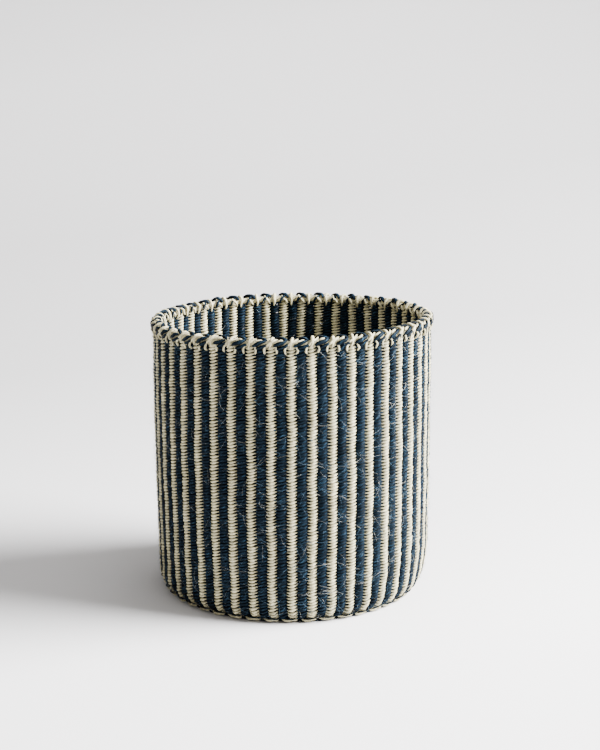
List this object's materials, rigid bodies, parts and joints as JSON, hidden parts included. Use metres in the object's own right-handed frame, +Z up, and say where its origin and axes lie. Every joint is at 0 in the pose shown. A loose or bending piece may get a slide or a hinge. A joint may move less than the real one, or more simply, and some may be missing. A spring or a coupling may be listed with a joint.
{
  "type": "twined storage basket",
  "caption": "Open round storage basket, hand-twined from two colours of sisal twine that make upright stripes, with a laced rim and a flat woven base.",
  "frame": {"origin": "centre of the underside of the base, on the surface it stands on", "axes": "+Z up along the basket's axis; +X and +Y point radially, +X through the middle of a cream stripe"},
  "size_m": [0.2516, 0.2516, 0.25],
  "materials": {
    "cream_sisal": "matte natural plant fibre",
    "navy_sisal": "matte dyed plant fibre",
    "natural_sisal": "matte natural plant fibre"
  },
  "bodies": {
    "root": {"warp_cord_01": "natural_sisal", "warp_cord_02": "natural_sisal", "warp_cord_03": "natural_sisal", "warp_cord_04": "natural_sisal", "warp_cord_05": "natural_sisal", "warp_cord_06": "natural_sisal", "warp_cord_07": "natural_sisal", "warp_cord_08": "natural_sisal", "warp_cord_09": "natural_sisal", "warp_cord_10": "natural_sisal", "warp_cord_11": "natural_sisal", "warp_cord_12": "natural_sisal", "warp_cord_13": "natural_sisal", "warp_cord_14": "natural_sisal", "warp_cord_15": "natural_sisal", "warp_cord_16": "natural_sisal", "warp_cord_17": "natural_sisal", "warp_cord_18": "natural_sisal", "warp_cord_19": "natural_sisal", "warp_cord_20": "natural_sisal", "warp_cord_21": "natural_sisal", "warp_cord_22": "natural_sisal", "warp_cord_23": "natural_sisal", "warp_cord_24": "natural_sisal", "warp_cord_25": "natural_sisal", "warp_cord_26": "natural_sisal", "warp_cord_27": "natural_sisal", "warp_cord_28": "natural_sisal", "warp_cord_29": "natural_sisal", "warp_cord_30": "natural_sisal", "warp_cord_31": "natural_sisal", "warp_cord_32": "natural_sisal", "warp_cord_33": "natural_sisal", "warp_cord_34": "natural_sisal", "warp_cord_35": "natural_sisal", "warp_cord_36": "natural_sisal", "warp_cord_37": "natural_sisal", "warp_cord_38": "natural_sisal", "warp_cord_39": "natural_sisal", "warp_cord_40": "natural_sisal", "warp_cord_41": "natural_sisal", "warp_cord_42": "natural_sisal", "warp_cord_43": "natural_sisal", "warp_cord_44": "natural_sisal", "starting_ring": "navy_sisal", "base_weft_cream_inner": "cream_sisal", "base_weft_cream_middle": "cream_sisal", "base_weft_cream_outer": "cream_sisal", "base_weft_navy_inner": "navy_sisal", "base_weft_navy_middle": "navy_sisal", "base_weft_navy_outer": "navy_sisal", "heel_weft_cream": "cream_sisal", "heel_weft_navy": "navy_sisal", "turning_course_cream": "cream_sisal", "turning_course_navy": "navy_sisal", "wall_weft_cream": "cream_sisal", "wall_weft_navy": "navy_sisal", "rim_core": "natural_sisal", "rim_lacing_cream": "cream_sisal", "rim_lacing_navy": "navy_sisal"}
  },
  "joints": []
}
